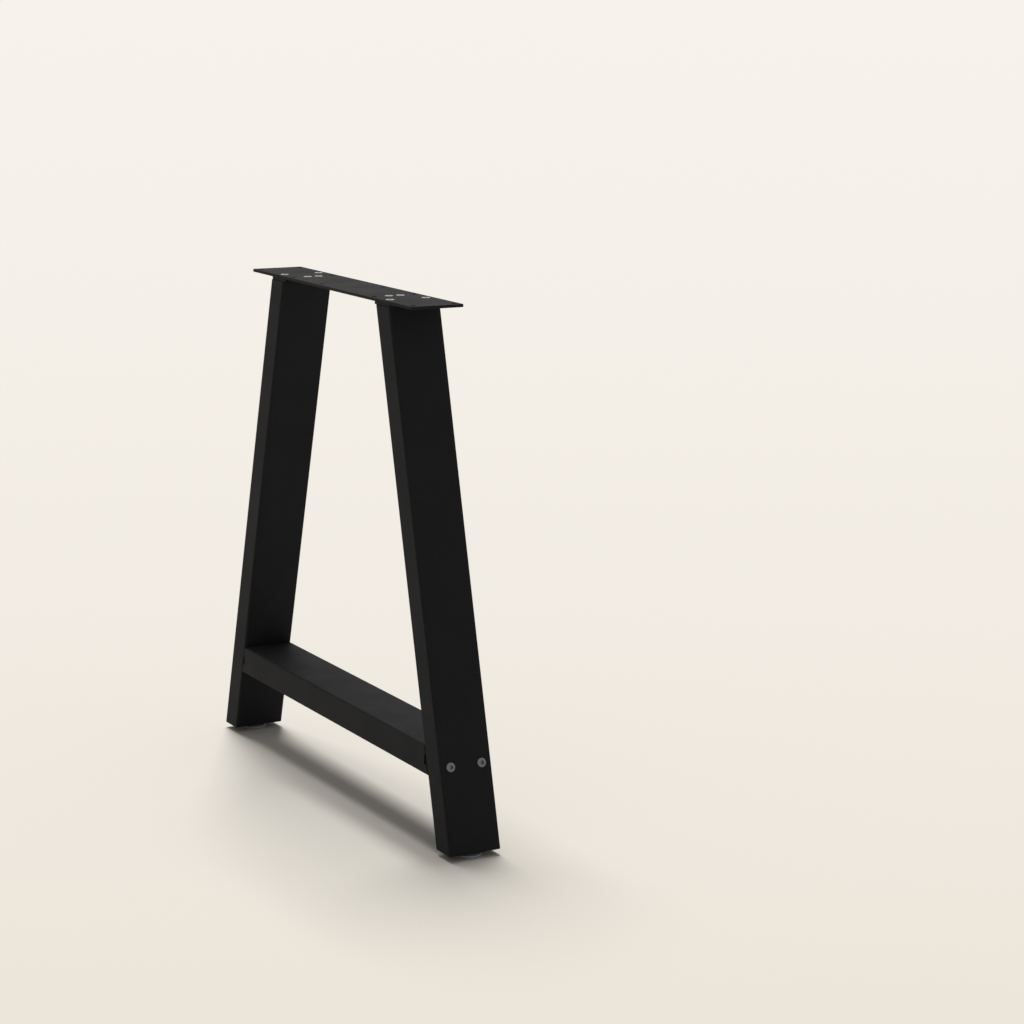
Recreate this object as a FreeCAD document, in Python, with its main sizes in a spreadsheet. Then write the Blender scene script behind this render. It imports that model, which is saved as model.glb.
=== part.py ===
"""Trestle table leg: a bolted A-frame of rectangular steel tube under a flat top plate.

Frame: millimetres, +Z up, origin on the floor under the middle of the plate. X runs along the plate from
foot to foot and Y across it. The right side (+X) is modelled and the left side is its mirror image.
"""
import FreeCAD, Part
import os
import Sketcher

Vector = FreeCAD.Vector
doc = FreeCAD.newDocument("trestle_table_leg")

# Driving sizes, in millimetres and degrees
SIZES = {
    "overall_height": (711, "floor to the top of the plate"),
    "base_width": (711, "across the outer faces of the legs at their lower ends"),
    "leg_lean": (14.15, "angle of a leg from upright"),
    "tube_width": (76, "wide face of the tube, along Y"),
    "tube_depth": (38, "narrow face of the tube"),
    "tube_wall": (2, "wall of the tube"),
    "tube_corner": (3, "outer corner radius of the tube"),
    "weld_gap": (0.2, "room around a plate welded inside a tube"),
    "plate_length": (486, "top plate along X"),
    "plate_thick": (4, "thickness of the top plate"),
    "plate_corner": (2, "corner radius of the top plate"),
    "table_hole": (7, "hole for a tabletop screw"),
    "table_edge": (8, "tabletop holes, in from the long edges of the plate"),
    "table_end": (12, "end tabletop holes, in from the ends of the plate"),
    "table_stagger": (33, "two middle tabletop holes, out from the centre along X"),
    "screw_size": (6, "thread of the plate screws"),
    "screw_head": (12, "head of the plate screws"),
    "screw_length": (10, "overall length of the plate screws"),
    "screw_socket": (4, "hexagon socket of the plate screws, across flats"),
    "screw_socket_depth": (2.2, "depth of that socket"),
    "screw_edge": (11.5, "plate screws over a tube, in from the long edges of the plate"),
    "inner_screws": (17, "between the two plate screws beside a tube"),
    "inner_screw_offset": (18, "inner screws, in from the inner face of the leg"),
    "thread_gap": (0.1, "room around a screw thread, on the radius"),
    "flange_thick": (4, "thickness of the leg flange"),
    "flange_step": (6, "flange beyond the inner face of the leg"),
    "flange_inset": (1, "flange inside the narrow faces of the leg"),
    "flange_corner": (3, "corner radius of the leg flange"),
    "tongue_width": (38, "tongue of the flange, along Y"),
    "tongue_margin": (12, "tongue beyond the inner screws"),
    "cap_thick": (3, "thickness of the end cap in the foot of a leg"),
    "pad_size": (35, "diameter of the foot pad"),
    "pad_height": (6, "height of the foot pad"),
    "pad_rim": (3.8, "straight part of the foot pad's rim"),
    "pad_top": (22, "diameter of the foot pad's upper face"),
    "pad_round": (2.2, "radius of the foot pad's lower edge"),
    "stud_size": (8, "thread of the foot stud"),
    "stud_length": (28, "stud above its collar"),
    "stud_root": (4, "stud inside the foot pad"),
    "stud_point": (1, "chamfer at the top of the stud"),
    "stud_gap": (0.2, "room around the stud in its nut, on the radius"),
    "collar_flats": (13, "hexagonal collar of the stud, across flats"),
    "collar_height": (2, "height of the collar"),
    "nut_flats": (13, "foot nut, across flats"),
    "nut_height": (6.5, "height of the foot nut"),
    "crossbar_height": (121, "floor to the middle of the crossbar"),
    "crossbar_depth": (40, "narrow face of the crossbar's tube"),
    "slot_height": (13, "slot in the crossbar's side walls"),
    "slot_length": (5, "slot, in from the end of the crossbar"),
    "end_plate_thick": (6, "tapped plate in the end of the crossbar"),
    "bolt_size": (8, "thread of the crossbar bolts"),
    "bolt_length": (45, "crossbar bolt under its head"),
    "bolt_head": (13, "head of the crossbar bolts"),
    "bolt_head_height": (1.8, "height of that head"),
    "bolt_round": (1.3, "round of that head"),
    "bolt_socket": (5, "hexagon socket of the bolts, across flats"),
    "bolt_socket_depth": (2.6, "depth of that socket"),
    "bolt_drop": (1, "bolt heads on the leg's outer face, below the middle of the crossbar"),
    "bolt_edge": (15, "crossbar bolts, in from the narrow faces of the leg"),
    "bolt_hole": (9, "hole for a bolt in the walls of a leg"),
    "sleeve_size": (13, "outside diameter of a spacer sleeve"),
}
sheet = doc.addObject("Spreadsheet::Sheet", "dims")
for row, (alias, (size, meaning)) in enumerate(SIZES.items(), start=1):
    sheet.set(f"A{row}", meaning)
    sheet.set(f"B{row}", str(size))
    sheet.setAlias(f"B{row}", alias)
doc.recompute()

# Levels and distances that follow from the driving sizes
TUBE_BOTTOM = "(dims.pad_height + dims.collar_height)"
TUBE_TOP = "(dims.overall_height - dims.plate_thick - dims.flange_thick)"
PLATE_BOTTOM = "(dims.overall_height - dims.plate_thick)"
LEG_SLICE = "(dims.tube_depth / cos(dims.leg_lean))"
CORE_WIDTH = "(dims.tube_width - 2 * dims.tube_wall - 2 * dims.weld_gap)"
CORE_DEPTH = "(dims.tube_depth - 2 * dims.tube_wall - 2 * dims.weld_gap)"
BAR_CORE_DEPTH = "(dims.crossbar_depth - 2 * dims.tube_wall - 2 * dims.weld_gap)"
INNER_CORNER = "(dims.tube_corner - dims.tube_wall)"
THREADED_SCREW = "(dims.screw_size + 2 * dims.thread_gap)"
THREADED_BOLT = "(dims.bolt_size + 2 * dims.thread_gap)"


def outer_face(height):
    """X of the right leg's outer face at a height."""
    return f"(dims.base_width / 2 - ({height} - {TUBE_BOTTOM}) * tan(dims.leg_lean))"


def inner_face(height):
    """X of the right leg's inner face at a height."""
    return f"({outer_face(height)} - {LEG_SLICE})"


FOOT_X = f"({outer_face(TUBE_BOTTOM)} - {LEG_SLICE} / 2)"
OUTER_SCREW_X = f"({outer_face(TUBE_TOP)} - {LEG_SLICE} / 2)"
INNER_SCREW_X = f"({inner_face(TUBE_TOP)} - dims.inner_screw_offset)"
OUTER_SCREW_Y = "(dims.tube_width / 2 - dims.screw_edge)"
INNER_SCREW_Y = "(dims.inner_screws / 2)"
END_HOLE_X = "(dims.plate_length / 2 - dims.table_end)"
TABLE_HOLE_Y = "(dims.tube_width / 2 - dims.table_edge)"
BOLT_HEIGHT = "(dims.crossbar_height - dims.bolt_drop)"
BOLT_Y = "(dims.tube_width / 2 - dims.bolt_edge)"


def number(expression):
    """Value that an expression has now."""
    return float(sheet.evalExpression(expression))


# Sketch helpers
def drive(sketch, expression, kind, *where):
    """Add a dimension to a sketch and tie it to an expression."""
    index = sketch.addConstraint(Sketcher.Constraint(kind, *where, number(expression)))
    sketch.setExpression(f"Constraints[{index}]", expression)


def new_sketch(body, name, role, lift=None):
    """Sketch on one of the body's own origin planes, raised along the plane's normal."""
    sketch = body.newObject("Sketcher::SketchObject", name)
    plane = next(item for item in body.Origin.OriginFeatures if item.Role == role)
    sketch.AttachmentSupport = (plane, [""])
    sketch.MapMode = "FlatFace"
    if lift:
        sketch.setExpression("AttachmentOffset.Base.z", lift)
    return sketch


def polygon(sketch, corners):
    """Closed outline with its corners at the given pairs of expressions."""
    points = [Vector(number(x), number(y), 0) for x, y in corners]
    first = sketch.GeometryCount
    for start, end in zip(points, points[1:] + points[:1]):
        sketch.addGeometry(Part.LineSegment(start, end))
    for i in range(len(points)):
        follower = first + (i + 1) % len(points)
        sketch.addConstraint(Sketcher.Constraint("Coincident", first + i, 2, follower, 1))
    for i, (x, y) in enumerate(corners, start=first):
        drive(sketch, x, "DistanceX", -1, 1, i, 1)
        drive(sketch, y, "DistanceY", -1, 1, i, 1)


def hexagon(sketch, flats):
    """Regular hexagon about the sketch's origin, by its size across flats."""
    radius = f"{flats} / 2 / cos(30)"
    polygon(sketch, [(f"{radius} * cos({turn})", f"{radius} * sin({turn})") for turn in range(0, 360, 60)])


def circle(sketch, x, y, diameter):
    """Circle about a point given by two expressions."""
    centre = Vector(number(x), number(y), 0)
    index = sketch.addGeometry(Part.Circle(centre, Vector(0, 0, 1), number(diameter) / 2))
    drive(sketch, x, "DistanceX", -1, 1, index, 3)
    drive(sketch, y, "DistanceY", -1, 1, index, 3)
    drive(sketch, diameter, "Diameter", index)


def rounded_rectangle(sketch, width, height, radius):
    """Rectangle about the sketch's origin with four equal round corners."""
    across, up, r = number(width) / 2, number(height) / 2, number(radius)
    x, y = across - r, up - r
    first = sketch.GeometryCount
    sides = [((-x, -up), (x, -up)), ((across, -y), (across, y)),
             ((x, up), (-x, up)), ((-across, y), (-across, -y))]
    for start, end in sides:
        sketch.addGeometry(Part.LineSegment(Vector(*start, 0), Vector(*end, 0)))
    quarter = FreeCAD.Units.Quantity("90 deg").getValueAs("rad").Value
    for i, centre in enumerate([(x, -y), (x, y), (-x, y), (-x, -y)]):
        ring = Part.Circle(Vector(*centre, 0), Vector(0, 0, 1), r)
        sketch.addGeometry(Part.ArcOfCircle(ring, (i - 1) * quarter, i * quarter))
    bottom, right, top, left = range(first, first + 4)
    arcs = range(first + 4, first + 8)
    for line, arc, follower in zip((bottom, right, top, left), arcs, (right, top, left, bottom)):
        sketch.addConstraint(Sketcher.Constraint("Tangent", line, 2, arc, 1))
        sketch.addConstraint(Sketcher.Constraint("Tangent", arc, 2, follower, 1))
    for line in (bottom, top):
        sketch.addConstraint(Sketcher.Constraint("Horizontal", line))
    for line in (left, right):
        sketch.addConstraint(Sketcher.Constraint("Vertical", line))
    for arc in arcs[1:]:
        sketch.addConstraint(Sketcher.Constraint("Equal", arcs[0], arc))
    sketch.addConstraint(Sketcher.Constraint("Symmetric", arcs[0], 3, arcs[2], 3, -1, 1))
    drive(sketch, radius, "Radius", arcs[0])
    drive(sketch, width, "DistanceX", left, 1, right, 1)
    drive(sketch, height, "DistanceY", bottom, 1, top, 1)


# Feature helpers
def new_body(name):
    return doc.addObject("PartDesign::Body", name)


def pad(body, sketch, length):
    """Extrude a sketch along its normal."""
    feature = body.newObject("PartDesign::Pad", f"{sketch.Name}_pad")
    feature.Profile = sketch
    feature.setExpression("Length", length)
    doc.recompute()
    return feature


def pocket(body, sketch, depth=None):
    """Cut a sketch into the solid along the sketch's normal, all the way through if no depth is given."""
    before = body.Shape.Volume
    feature = body.newObject("PartDesign::Pocket", f"{sketch.Name}_pocket")
    feature.Profile = sketch
    feature.Reversed = True
    if depth:
        feature.setExpression("Length", depth)
    else:
        feature.Type = "ThroughAll"
    doc.recompute()
    if not body.Shape.Volume < before:
        raise RuntimeError(f"{feature.Name} cuts nothing")
    return feature


def revolve(body, sketch):
    """Full turn of a sketch about its vertical axis."""
    feature = body.newObject("PartDesign::Revolution", f"{sketch.Name}_turn")
    feature.Profile = sketch
    feature.ReferenceAxis = (sketch, ["V_Axis"])
    feature.Angle = 360
    doc.recompute()
    return feature


def fillet(body, base, chosen, radius):
    """Round the edges of a feature that a test chooses."""
    names = [f"Edge{i}" for i, edge in enumerate(base.Shape.Edges, start=1) if chosen(edge)]
    feature = body.newObject("PartDesign::Fillet", f"{base.Name}_round")
    feature.Base = (base, names)
    feature.setExpression("Radius", radius)
    doc.recompute()
    return feature


def is_upright(edge):
    """True for a straight edge along the local Z axis."""
    return edge.Curve.TypeId == "Part::GeomLine" and abs(edge.Curve.Direction.z) > 0.999


def ring_at(height, diameter):
    """Test for a round edge at a height with a diameter."""
    level, radius = number(height), number(diameter) / 2

    def chosen(edge):
        if edge.Curve.TypeId != "Part::GeomCircle":
            return False
        return abs(edge.Curve.Center.z - level) < 1e-4 and abs(edge.Curve.Radius - radius) < 1e-4
    return chosen


# Solid helpers
def place(item, x="0", y="0", z="0", turn=None):
    """Tie a place to expressions; a turn leans the local Z axis from +Z towards -X."""
    if turn:
        item.Placement = FreeCAD.Placement(Vector(), FreeCAD.Rotation(Vector(0, -1, 0), number(turn)))
        item.setExpression("Placement.Rotation.Angle", turn)
    for axis, expression in zip("xyz", (x, y, z)):
        item.setExpression(f"Placement.Base.{axis}", expression)
    return item


def primitive(kind, name, **sizes):
    """Part primitive with its sizes tied to expressions."""
    item = doc.addObject(f"Part::{kind}", name)
    for size, expression in sizes.items():
        item.setExpression(size, expression)
    return item


def cut(name, base, tool):
    item = doc.addObject("Part::Cut", name)
    item.Base, item.Tool = base, tool
    return item


def common(name, base, tool):
    item = doc.addObject("Part::Common", name)
    item.Base, item.Tool = base, tool
    return item


def fuse(name, *pieces):
    item = doc.addObject("Part::MultiFuse", name)
    item.Shapes = list(pieces)
    return item


def group(name, *pieces):
    item = doc.addObject("Part::Compound", name)
    item.Links = list(pieces)
    return item


def mirror(name, source, normal):
    """Mirror image across a plane through the origin."""
    item = doc.addObject("Part::Mirroring", name)
    item.Source = source
    item.Normal = normal
    return item


ACROSS = Vector(1, 0, 0)
FRONT_TO_BACK = Vector(0, 1, 0)


def left_of(node, source):
    """Left piece as the mirror image of the right one."""
    return mirror(node, source, ACROSS)


def four_of(source):
    """A piece with its mirror images in both directions."""
    front = mirror(f"{source.Name}_front", source, FRONT_TO_BACK)
    left_pair = [mirror(f"{piece.Name}_left", piece, ACROSS) for piece in (source, front)]
    return [source, front, *left_pair]


def tube_section(body, name, role, across, up, lift):
    """Hollow section of the tube, with rounded corners inside and out."""
    sketch = new_sketch(body, name, role, lift)
    rounded_rectangle(sketch, across, up, "dims.tube_corner")
    rounded_rectangle(sketch, f"{across} - 2 * dims.tube_wall", f"{up} - 2 * dims.tube_wall", INNER_CORNER)
    return sketch


# Top plate: flat bar as wide as the tube, with round corners, tabletop holes and countersunk screw holes
top_plate = new_body("top_plate")
place(top_plate, z=PLATE_BOTTOM)
plate_outline = new_sketch(top_plate, "plate_outline", "XY_Plane")
rounded_rectangle(plate_outline, "dims.plate_length", "dims.tube_width", "dims.plate_corner")
pad(top_plate, plate_outline, "dims.plate_thick")

SIDES = (1, -1)
table_holes = new_sketch(top_plate, "table_holes", "XY_Plane")
for side in SIDES:
    for hole_x in (END_HOLE_X, INNER_SCREW_X):
        for edge in SIDES:
            circle(table_holes, f"{side} * {hole_x}", f"{edge} * {TABLE_HOLE_Y}", "dims.table_hole")
    circle(table_holes, f"{side} * dims.table_stagger", f"{side} * {TABLE_HOLE_Y}", "dims.table_hole")
pocket(top_plate, table_holes)

screw_places = new_sketch(top_plate, "screw_places", "XY_Plane", "dims.plate_thick")
for side in SIDES:
    for screw_x, screw_y in ((OUTER_SCREW_X, OUTER_SCREW_Y), (INNER_SCREW_X, INNER_SCREW_Y)):
        for edge in SIDES:
            circle(screw_places, f"{side} * {screw_x}", f"{edge} * {screw_y}", THREADED_SCREW)
doc.recompute()
screw_holes = top_plate.newObject("PartDesign::Hole", "screw_holes")
screw_holes.Profile = screw_places
screw_holes.DepthType = "ThroughAll"
screw_holes.ThreadType = "None"
screw_holes.HoleCutType = "Countersink"
screw_holes.HoleCutCustomValues = True
screw_holes.setExpression("Diameter", THREADED_SCREW)
screw_holes.setExpression("HoleCutDiameter", "dims.screw_head + 2 * dims.thread_gap")
screw_holes.HoleCutCountersinkAngle = 90
doc.recompute()

# Plate screws: countersunk, with the cone running down to the thread and a hexagon socket
SCREW_CONE = "((dims.screw_head - dims.screw_size) / 2)"


def plate_screw(name, x, y):
    """Countersunk screw, head flush with the top of the plate."""
    body = new_body(name)
    place(body, x, y, "dims.overall_height")
    profile = new_sketch(body, f"{name}_profile", "XZ_Plane")
    polygon(profile, [("0", "-dims.screw_length"), ("dims.screw_size / 2", "-dims.screw_length"),
                      ("dims.screw_size / 2", f"-{SCREW_CONE}"), ("dims.screw_head / 2", "0"), ("0", "0")])
    revolve(body, profile)
    socket = new_sketch(body, f"{name}_socket", "XY_Plane", "-dims.screw_socket_depth")
    hexagon(socket, "dims.screw_socket")
    pocket(body, socket)
    return body


outer_screw = plate_screw("outer_screw", OUTER_SCREW_X, OUTER_SCREW_Y)
inner_screw = plate_screw("inner_screw", INNER_SCREW_X, INNER_SCREW_Y)
plate_screws = group("plate_screws", *four_of(outer_screw), *four_of(inner_screw))

# Leg: tube along its own axis, both ends cut level with the floor, and two bolt holes through both wide walls
leg_stock = new_body("leg_stock")
leg_section = tube_section(
    leg_stock, "leg_section", "XY_Plane", "dims.tube_depth", "dims.tube_width", "-dims.tube_depth")
pad(leg_stock, leg_section, f"({TUBE_TOP} - {TUBE_BOTTOM}) / cos(dims.leg_lean) + 2 * dims.tube_depth")
place(leg_stock, FOOT_X, "0", TUBE_BOTTOM, "dims.leg_lean")
leg_level = primitive("Box", "leg_level", Length="dims.base_width", Width="2 * dims.tube_width",
                      Height=f"{TUBE_TOP} - {TUBE_BOTTOM}")
place(leg_level, "0", "-dims.tube_width", TUBE_BOTTOM)
leg_blank = common("leg_blank", leg_stock, leg_level)


def on_bolt_axis(item, depth, y):
    """Set a piece on a bolt's axis, square to the leg's outer face and so far in from it."""
    x = f"{outer_face(BOLT_HEIGHT)} - ({depth}) * cos(dims.leg_lean)"
    z = f"{BOLT_HEIGHT} - ({depth}) * sin(dims.leg_lean)"
    return place(item, x, y, z, "90 + dims.leg_lean")


def bolt_bore(name, diameter, depth, length):
    """Two round cutters, one on each bolt's axis."""
    bores = []
    for edge, y in (("back", BOLT_Y), ("front", f"-{BOLT_Y}")):
        bore = primitive("Cylinder", f"{name}_{edge}", Radius=f"{diameter} / 2", Height=length)
        bores.append(on_bolt_axis(bore, depth, y))
    return fuse(name, *bores)


leg_bores = bolt_bore(
    "leg_bores", "dims.bolt_hole", "-dims.tube_wall", "dims.tube_depth + 2 * dims.tube_wall")
right_leg_tube = cut("right_leg_tube", leg_blank, leg_bores)
left_leg_tube = left_of("left_leg_tube", right_leg_tube)

# Leg flange: plate on the top end of the tube, with a tongue that reaches the inner screws
right_leg_flange = new_body("right_leg_flange")
place(right_leg_flange, z=TUBE_TOP)
flange_outline = new_sketch(right_leg_flange, "flange_outline", "XY_Plane")
FLANGE_OUT = outer_face(TUBE_TOP)
FLANGE_IN = f"({inner_face(TUBE_TOP)} - dims.flange_step)"
TONGUE_END = f"({INNER_SCREW_X} - dims.tongue_margin)"
FLANGE_Y = "(dims.tube_width / 2 - dims.flange_inset)"
TONGUE_Y = "(dims.tongue_width / 2)"
polygon(flange_outline, [
    (FLANGE_OUT, f"-{FLANGE_Y}"), (FLANGE_OUT, FLANGE_Y), (FLANGE_IN, FLANGE_Y), (FLANGE_IN, TONGUE_Y),
    (TONGUE_END, TONGUE_Y), (TONGUE_END, f"-{TONGUE_Y}"), (FLANGE_IN, f"-{TONGUE_Y}"),
    (FLANGE_IN, f"-{FLANGE_Y}")])
flange_pad = pad(right_leg_flange, flange_outline, "dims.flange_thick")
fillet(right_leg_flange, flange_pad, is_upright, "dims.flange_corner")
flange_threads = new_sketch(right_leg_flange, "flange_threads", "XY_Plane")
for edge in SIDES:
    circle(flange_threads, OUTER_SCREW_X, f"{edge} * {OUTER_SCREW_Y}", THREADED_SCREW)
    circle(flange_threads, INNER_SCREW_X, f"{edge} * {INNER_SCREW_Y}", THREADED_SCREW)
pocket(right_leg_flange, flange_threads)
left_leg_flange = left_of("left_leg_flange", right_leg_flange)

# Leg end cap: plate welded into the lower end of the tube, with a hole for the foot stud
STUD_HOLE = "(dims.stud_size + 2 * dims.stud_gap)"
leg_core = new_body("leg_core")
core_section = new_sketch(leg_core, "core_section", "XY_Plane", "-dims.tube_depth")
rounded_rectangle(core_section, CORE_DEPTH, CORE_WIDTH, INNER_CORNER)
pad(leg_core, core_section, "2 * dims.tube_depth")
place(leg_core, FOOT_X, "0", TUBE_BOTTOM, "dims.leg_lean")
cap_level = primitive("Box", "cap_level", Length="dims.base_width", Width="2 * dims.tube_width",
                      Height="dims.cap_thick")
place(cap_level, "0", "-dims.tube_width", TUBE_BOTTOM)
stud_bore = primitive("Cylinder", "stud_bore", Radius=f"{STUD_HOLE} / 2", Height="dims.tube_depth")
place(stud_bore, FOOT_X, "0", f"{TUBE_BOTTOM} - dims.tube_depth / 2")
right_leg_end_cap = cut("right_leg_end_cap", common("cap_blank", leg_core, cap_level), stud_bore)
left_leg_end_cap = left_of("left_leg_end_cap", right_leg_end_cap)

# Foot nut: hexagonal, welded on the end cap inside the leg
right_foot_nut = new_body("right_foot_nut")
place(right_foot_nut, FOOT_X, "0", f"{TUBE_BOTTOM} + dims.cap_thick")
nut_outline = new_sketch(right_foot_nut, "nut_outline", "XY_Plane")
hexagon(nut_outline, "dims.nut_flats")
circle(nut_outline, "0", "0", STUD_HOLE)
pad(right_foot_nut, nut_outline, "dims.nut_height")
left_foot_nut = left_of("left_foot_nut", right_foot_nut)

# Foot stud: threaded pin with a hexagonal collar that stops on the end cap
right_foot_stud = new_body("right_foot_stud")
place(right_foot_stud, FOOT_X, "0", "dims.pad_height")
collar_outline = new_sketch(right_foot_stud, "collar_outline", "XY_Plane")
hexagon(collar_outline, "dims.collar_flats")
pad(right_foot_stud, collar_outline, "dims.collar_height")
STUD_END = "(dims.collar_height + dims.stud_length)"
stud_profile = new_sketch(right_foot_stud, "stud_profile", "XZ_Plane")
polygon(stud_profile, [
    ("0", "-dims.stud_root"), ("dims.stud_size / 2", "-dims.stud_root"),
    ("dims.stud_size / 2", f"{STUD_END} - dims.stud_point"),
    ("dims.stud_size / 2 - dims.stud_point", STUD_END), ("0", STUD_END)])
revolve(right_foot_stud, stud_profile)
left_foot_stud = left_of("left_foot_stud", right_foot_stud)

# Foot pad: moulded disc with a rounded lower edge and a shallow cone up to the collar
right_foot_pad = new_body("right_foot_pad")
place(right_foot_pad, FOOT_X)
pad_profile = new_sketch(right_foot_pad, "pad_profile", "XZ_Plane")
PAD_SOCKET = "(dims.stud_size / 2 + dims.thread_gap)"
PAD_FLOOR = "(dims.pad_height - dims.stud_root)"
polygon(pad_profile, [
    ("0", "0"), ("dims.pad_size / 2", "0"), ("dims.pad_size / 2", "dims.pad_rim"),
    ("dims.pad_top / 2", "dims.pad_height"), (PAD_SOCKET, "dims.pad_height"), (PAD_SOCKET, PAD_FLOOR),
    ("0", PAD_FLOOR)])
pad_turn = revolve(right_foot_pad, pad_profile)
fillet(right_foot_pad, pad_turn, ring_at("0", "dims.pad_size"), "dims.pad_round")
left_foot_pad = left_of("left_foot_pad", right_foot_pad)

# Crossbar: tube as wide as the legs, laid flat, mitred to their inner faces, its sides slotted at each end
crossbar_stock = new_body("crossbar_stock")
place(crossbar_stock, z="dims.crossbar_height")
bar_section = tube_section(
    crossbar_stock, "bar_section", "YZ_Plane", "dims.tube_width", "dims.crossbar_depth",
    "-dims.base_width / 2")
pad(crossbar_stock, bar_section, "dims.base_width")
BAR_LOW = "(dims.crossbar_height - dims.crossbar_depth)"
BAR_HIGH = "(dims.crossbar_height + dims.crossbar_depth)"
mitre = primitive(
    "Wedge", "mitre", Ymin=BAR_LOW, Ymax=BAR_HIGH,
    Xmin=f"-{inner_face(BAR_LOW)}", Xmax=inner_face(BAR_LOW), Zmin="-dims.tube_width", Zmax="dims.tube_width",
    X2min=f"-{inner_face(BAR_HIGH)}", X2max=inner_face(BAR_HIGH),
    Z2min="-dims.tube_width", Z2max="dims.tube_width")
mitre.Placement = FreeCAD.Placement(Vector(), FreeCAD.Rotation(Vector(1, 0, 0), 90))
crossbar_blank = common("crossbar_blank", crossbar_stock, mitre)
right_slot = primitive(
    "Box", "right_slot", Length="dims.slot_length + dims.tube_depth", Width="2 * dims.tube_width",
    Height="dims.slot_height")
place(right_slot, f"{inner_face('dims.crossbar_height')} - dims.slot_length", "-dims.tube_width",
      "dims.crossbar_height - dims.slot_height / 2")
slots = fuse("slots", right_slot, left_of("left_slot", right_slot))
crossbar_tube = cut("crossbar_tube", crossbar_blank, slots)

# Crossbar end plate: closes the mitred end, parallel to the leg's face, and is tapped for the two bolts
crossbar_core = new_body("crossbar_core")
place(crossbar_core, z="dims.crossbar_height")
bar_core_section = new_sketch(crossbar_core, "bar_core_section", "YZ_Plane")
rounded_rectangle(bar_core_section, CORE_WIDTH, BAR_CORE_DEPTH, INNER_CORNER)
pad(crossbar_core, bar_core_section, "dims.base_width / 2")
end_layer = primitive("Box", "end_layer", Length="dims.end_plate_thick", Width="2 * dims.tube_width",
                      Height="4 * dims.crossbar_depth")
place(end_layer,
      f"{inner_face('dims.crossbar_height')} - dims.end_plate_thick * cos(dims.leg_lean)"
      " + 2 * dims.crossbar_depth * sin(dims.leg_lean)",
      "-dims.tube_width",
      "dims.crossbar_height - dims.end_plate_thick * sin(dims.leg_lean)"
      " - 2 * dims.crossbar_depth * cos(dims.leg_lean)",
      "dims.leg_lean")
end_blank = common("end_blank", crossbar_core, end_layer)
plate_bores = bolt_bore(
    "plate_bores", THREADED_BOLT, "dims.tube_wall", "dims.tube_depth + 2 * dims.end_plate_thick")
right_crossbar_end_plate = cut("right_crossbar_end_plate", end_blank, plate_bores)
left_crossbar_end_plate = left_of("left_crossbar_end_plate", right_crossbar_end_plate)

# Spacer sleeves: short tubes on the bolts, between the two wide walls of the leg
sleeve_tubes = []
for edge, y in (("back", BOLT_Y), ("front", f"-{BOLT_Y}")):
    sleeve = new_body(f"sleeve_{edge}")
    on_bolt_axis(sleeve, "dims.tube_wall", y)
    sleeve_ring = new_sketch(sleeve, f"sleeve_ring_{edge}", "XY_Plane")
    circle(sleeve_ring, "0", "0", "dims.sleeve_size")
    circle(sleeve_ring, "0", "0", "dims.bolt_hole")
    pad(sleeve, sleeve_ring, "dims.tube_depth - 2 * dims.tube_wall")
    sleeve_tubes.append(sleeve)
right_spacer_sleeves = group("right_spacer_sleeves", *sleeve_tubes)
left_spacer_sleeves = left_of("left_spacer_sleeves", right_spacer_sleeves)

# Crossbar bolts: low round head on the leg's outer face, shank through the leg into the tapped end plate
bolt = new_body("bolt")
on_bolt_axis(bolt, "0", BOLT_Y)
bolt_profile = new_sketch(bolt, "bolt_profile", "XZ_Plane")
polygon(bolt_profile, [
    ("0", "-dims.bolt_head_height"), ("dims.bolt_head / 2", "-dims.bolt_head_height"),
    ("dims.bolt_head / 2", "0"), ("dims.bolt_size / 2", "0"),
    ("dims.bolt_size / 2", "dims.bolt_length"), ("0", "dims.bolt_length")])
bolt_turn = revolve(bolt, bolt_profile)
fillet(bolt, bolt_turn, ring_at("-dims.bolt_head_height", "dims.bolt_head"), "dims.bolt_round")
bolt_socket = new_sketch(bolt, "bolt_socket", "XY_Plane", "-dims.bolt_head_height")
hexagon(bolt_socket, "dims.bolt_socket")
pocket(bolt, bolt_socket, "dims.bolt_socket_depth")
crossbar_bolts = group("crossbar_bolts", *four_of(bolt))

# Every sub-part is checked and then written to a file of its own
NODES = [
    top_plate, plate_screws, right_leg_tube, left_leg_tube, right_leg_flange, left_leg_flange,
    right_leg_end_cap, left_leg_end_cap, right_foot_nut, left_foot_nut, right_foot_stud, left_foot_stud,
    right_foot_pad, left_foot_pad, crossbar_tube, right_crossbar_end_plate, left_crossbar_end_plate,
    right_spacer_sleeves, left_spacer_sleeves, crossbar_bolts,
]
doc.recompute()
failed = [item.Name for item in doc.Objects if {"Invalid", "Error"} & set(item.State)]
if failed:
    raise RuntimeError(f"not built: {failed}")
for item in NODES:
    if item.Shape.isNull() or not item.Shape.isValid():
        raise RuntimeError(f"{item.Label} has no valid shape")
os.makedirs("parts", exist_ok=True)
for item in NODES:
    item.Shape.exportStep(f"parts/{item.Label}.step")
    print(f"{item.Label:26s} solids {len(item.Shape.Solids)}  volume {item.Shape.Volume:10.1f} mm3")
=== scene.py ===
# %% [markdown]
# # Trestle table leg
# One end of a flat-pack table: two leaning legs of rectangular steel tube under a flat plate, tied by a
# crossbar of like tube, all in black powder coat. The CAD frame already holds every solid at its real
# size and place. Blender gives the pieces what a camera notices: filed edges, turned screw heads, weld
# ripples, screw threads and finishes with their own grain. The frame is loaded first and never moves, so
# every new piece is built where the CAD says.

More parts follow.
